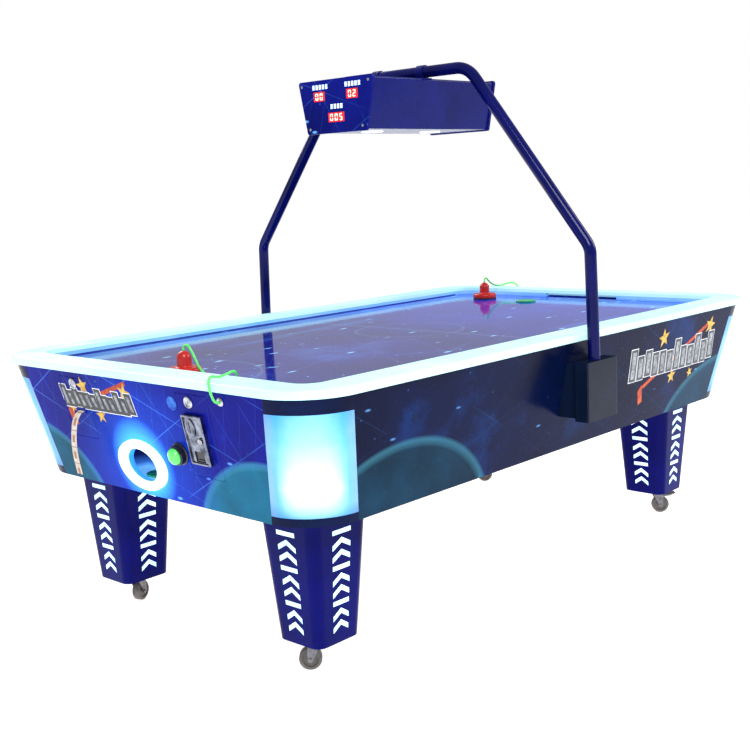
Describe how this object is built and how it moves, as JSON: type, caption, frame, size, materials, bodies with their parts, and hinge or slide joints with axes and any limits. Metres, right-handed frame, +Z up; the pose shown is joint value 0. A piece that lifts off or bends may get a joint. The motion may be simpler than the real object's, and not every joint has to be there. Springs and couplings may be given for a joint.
{
  "type": "air hockey table",
  "caption": "Arcade air hockey table with a lit rim, leaning cabinet on caster legs, coin and ticket doors, and a score box hung from a tubular gantry.",
  "frame": {"origin": "floor level under the centre of the table", "axes": "+X along the table from the coin door end to the far end, +Y to the back long side, +Z up"},
  "size_m": [2.4386, 1.57, 1.718],
  "materials": {
    "cabinet_laminate": "glossy printed laminate over board",
    "corner_shell_black": "gloss dark blue",
    "lens_cyan": "translucent, lit from behind",
    "plywood": "raw board",
    "rim_lit": "translucent, lit from below",
    "rail_blue": "satin, lit blue",
    "field_laminate": "high gloss printed field",
    "sheet_steel_grey": "grey powder coat",
    "motor_black": "black enamel",
    "fan_plastic": "moulded",
    "tray_plastic": "moulded light blue",
    "ring_lit": "translucent, lit",
    "button_green": "translucent, lit",
    "bezel_black": "gloss",
    "door_blue": "gloss blue",
    "chrome_fittings": "polished",
    "flap_black": "satin",
    "ticket_paper": "printed paper strip",
    "eyelet_steel": "satin",
    "leg_blue": "gloss with lit marks",
    "caster_steel": "zinc plated",
    "wheel_rubber": "satin black tread",
    "gantry_blue": "gloss blue",
    "bracket_dark": "gloss dark blue cover",
    "score_box_blue": "semi-gloss blue",
    "display_blue": "gloss blue with dark windows",
    "screw_steel": "polished heads",
    "downlight_glass": "frosted lens",
    "mallet_red": "moulded",
    "felt_black": "felt",
    "puck_green": "moulded",
    "cord_green": "soft cord"
  },
  "bodies": {
    "table": {"side_panel_front": "cabinet_laminate", "side_panel_back": "cabinet_laminate", "end_panel_near": "cabinet_laminate", "end_panel_far": "cabinet_laminate", "corner_shells": "corner_shell_black", "corner_lenses": "lens_cyan", "floor_panel": "plywood", "rim_boards": "rim_lit", "rim_corners": "rim_lit", "rebound_rails_long": "rail_blue", "rebound_rails_end": "rail_blue", "playfield": "field_laminate", "air_box": "plywood", "blower_housing": "sheet_steel_grey", "blower_motor": "motor_black", "power_unit": "sheet_steel_grey", "return_cups": "tray_plastic", "return_ring_lights": "ring_lit", "start_button_bezel": "bezel_black", "tether_eyelets": "eyelet_steel", "leg_near_front": "leg_blue", "leg_near_back": "leg_blue", "leg_far_front": "leg_blue", "leg_far_back": "leg_blue", "caster_plates": "caster_steel", "gantry_posts": "gantry_blue", "gantry_arch": "gantry_blue", "gantry_brackets": "bracket_dark", "score_box": "score_box_blue", "display_plates": "display_blue", "display_screws": "screw_steel", "downlights": "downlight_glass", "tether_near": "cord_green", "tether_far": "cord_green"},
    "caster_near_front": {"caster_fork_near_front": "caster_steel"},
    "wheel_near_front": {"caster_wheel_near_front": "wheel_rubber"},
    "caster_near_back": {"caster_fork_near_back": "caster_steel"},
    "wheel_near_back": {"caster_wheel_near_back": "wheel_rubber"},
    "caster_far_front": {"caster_fork_far_front": "caster_steel"},
    "wheel_far_front": {"caster_wheel_far_front": "wheel_rubber"},
    "pedal_far_front": {"brake_pedal_far_front": "caster_steel"},
    "caster_far_back": {"caster_fork_far_back": "caster_steel"},
    "wheel_far_back": {"caster_wheel_far_back": "wheel_rubber"},
    "pedal_far_back": {"brake_pedal_far_back": "caster_steel"},
    "start_button": {"start_button": "button_green"},
    "coin_door": {"coin_door": "door_blue", "coin_plate": "chrome_fittings"},
    "coin_lock": {"coin_door_lock": "chrome_fittings"},
    "reject_button": {"coin_reject_button": "chrome_fittings"},
    "return_flap": {"coin_return_flap": "flap_black"},
    "ticket_door": {"ticket_door": "door_blue", "ticket_strip": "ticket_paper"},
    "ticket_lock": {"ticket_door_lock": "chrome_fittings"},
    "fan": {"blower_fan": "fan_plastic"},
    "mallet_near": {"mallet_near": "mallet_red", "mallet_felt_near": "felt_black"},
    "mallet_far": {"mallet_far": "mallet_red", "mallet_felt_far": "felt_black"},
    "puck_field": {"puck_field": "puck_green"},
    "puck_returned": {"puck_returned": "puck_green"}
  },
  "joints": [
    {"name": "swivel_near_front", "type": "hinge", "parent": "table", "child": "caster_near_front", "pos_m": [-0.93, -0.436, 0.086], "axis": [0, 0, 1], "continuous": true},
    {"name": "roll_near_front", "type": "hinge", "parent": "caster_near_front", "child": "wheel_near_front", "pos_m": [-0.9491, -0.41552, 0.0325], "axis": [0.7314, 0.682, 0], "continuous": true},
    {"name": "swivel_near_back", "type": "hinge", "parent": "table", "child": "caster_near_back", "pos_m": [-0.93, 0.436, 0.086], "axis": [0, 0, 1], "continuous": true},
    {"name": "roll_near_back", "type": "hinge", "parent": "caster_near_back", "child": "wheel_near_back", "pos_m": [-0.90369, 0.44558, 0.0325], "axis": [0.342, -0.9397, 0], "continuous": true},
    {"name": "swivel_far_front", "type": "hinge", "parent": "table", "child": "caster_far_front", "pos_m": [0.93, -0.436, 0.086], "axis": [0, 0, 1], "continuous": true},
    {"name": "roll_far_front", "type": "hinge", "parent": "caster_far_front", "child": "wheel_far_front", "pos_m": [0.9498, -0.4558, 0.0325], "axis": [-0.7071, -0.7071, 0], "continuous": true},
    {"name": "brake_far_front", "type": "hinge", "parent": "caster_far_front", "child": "pedal_far_front", "pos_m": [0.95899, -0.46499, 0.07], "axis": [-0.7071, -0.7071, 0], "range_deg": [0, 14]},
    {"name": "swivel_far_back", "type": "hinge", "parent": "table", "child": "caster_far_back", "pos_m": [0.93, 0.436, 0.086], "axis": [0, 0, 1], "continuous": true},
    {"name": "roll_far_back", "type": "hinge", "parent": "caster_far_back", "child": "wheel_far_back", "pos_m": [0.9491, 0.41552, 0.0325], "axis": [-0.7314, -0.682, 0], "continuous": true},
    {"name": "brake_far_back", "type": "hinge", "parent": "caster_far_back", "child": "pedal_far_back", "pos_m": [0.95796, 0.40601, 0.07], "axis": [-0.7314, -0.682, 0], "range_deg": [0, 14]},
    {"name": "start_press", "type": "slide", "parent": "table", "child": "start_button", "axis": [0.9799, 0, 0.1993], "range_m": [0, 0.005], "stiffness_N_per_m": 400},
    {"name": "coin_door_swing", "type": "hinge", "parent": "table", "child": "coin_door", "pos_m": [-1.16485, -0.32875, 0.68859], "axis": [-0.1993, 0, 0.9799], "range_deg": [0, 100]},
    {"name": "coin_lock_turn", "type": "hinge", "parent": "coin_door", "child": "coin_lock", "pos_m": [-1.18438, -0.249, 0.78462], "axis": [-0.9799, 0, -0.1993], "range_deg": [0, 90]},
    {"name": "reject_press", "type": "slide", "parent": "coin_door", "child": "reject_button", "axis": [0.9799, 0, 0.1993], "range_m": [0, 0.0035], "stiffness_N_per_m": 250},
    {"name": "return_flap_swing", "type": "hinge", "parent": "coin_door", "child": "return_flap", "pos_m": [-1.16236, -0.257, 0.64725], "axis": [0, -1, 0], "range_deg": [0, 40]},
    {"name": "ticket_door_swing", "type": "hinge", "parent": "table", "child": "ticket_door", "pos_m": [-1.17003, 0.36575, 0.71406], "axis": [0.1993, 0, -0.9799], "range_deg": [0, 100]},
    {"name": "ticket_lock_turn", "type": "hinge", "parent": "ticket_door", "child": "ticket_lock", "pos_m": [-1.18518, 0.297, 0.78854], "axis": [-0.9799, 0, -0.1993], "range_deg": [0, 90]},
    {"name": "fan_spin", "type": "hinge", "parent": "table", "child": "fan", "pos_m": [0.3, 0, 0.56], "axis": [0, 0, 1], "continuous": true},
    {"name": "mallet_near_slide", "type": "slide", "parent": "table", "child": "mallet_near", "axis": [1, 0, 0], "range_m": [0, 0.4]},
    {"name": "mallet_far_slide", "type": "slide", "parent": "table", "child": "mallet_far", "axis": [-1, 0, 0], "range_m": [0, 0.4]},
    {"name": "puck_glide", "type": "slide", "parent": "table", "child": "puck_field", "axis": [-1, 0, 0], "range_m": [0, 1.8]},
    {"name": "puck_pick_up", "type": "slide", "parent": "table", "child": "puck_returned", "axis": [-0.75, 0, 0.6614], "range_m": [0, 0.1]}
  ]
}
